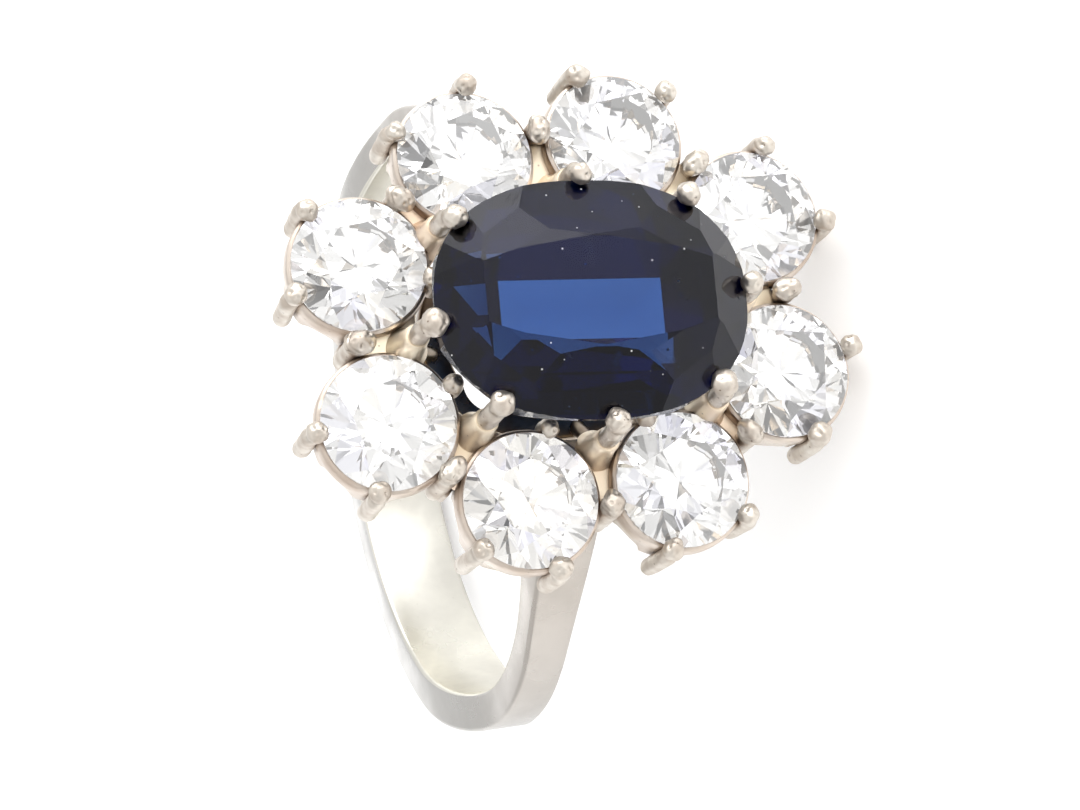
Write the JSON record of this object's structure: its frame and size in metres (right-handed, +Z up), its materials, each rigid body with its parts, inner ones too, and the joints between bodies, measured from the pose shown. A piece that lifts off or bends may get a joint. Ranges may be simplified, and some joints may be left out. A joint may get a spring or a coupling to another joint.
{
  "type": "cluster ring",
  "caption": "Finger ring with a raised oval blue stone on claws inside a ring of round clear stones, on a plain band that narrows towards its shoulders.",
  "frame": {"origin": "centre of the finger hole, midway across the band", "axes": "the ring lies on its side: +Z is up, -Y points the way the stones face, and X runs across the finger. The finger's axis leans 22.7 degrees from Z, towards Y"},
  "size_m": [0.02, 0.0253, 0.0171],
  "materials": {
    "white_gold": "satin, brighter on the claw tips, warm on the plate",
    "blue_stone": "polished facets",
    "clear_stone": "polished facets"
  },
  "bodies": {
    "root": {"metal": "white_gold", "sapphire": "blue_stone", "diamond_1": "clear_stone", "diamond_2": "clear_stone", "diamond_3": "clear_stone", "diamond_4": "clear_stone", "diamond_5": "clear_stone", "diamond_6": "clear_stone", "diamond_7": "clear_stone", "diamond_8": "clear_stone"}
  },
  "joints": []
}
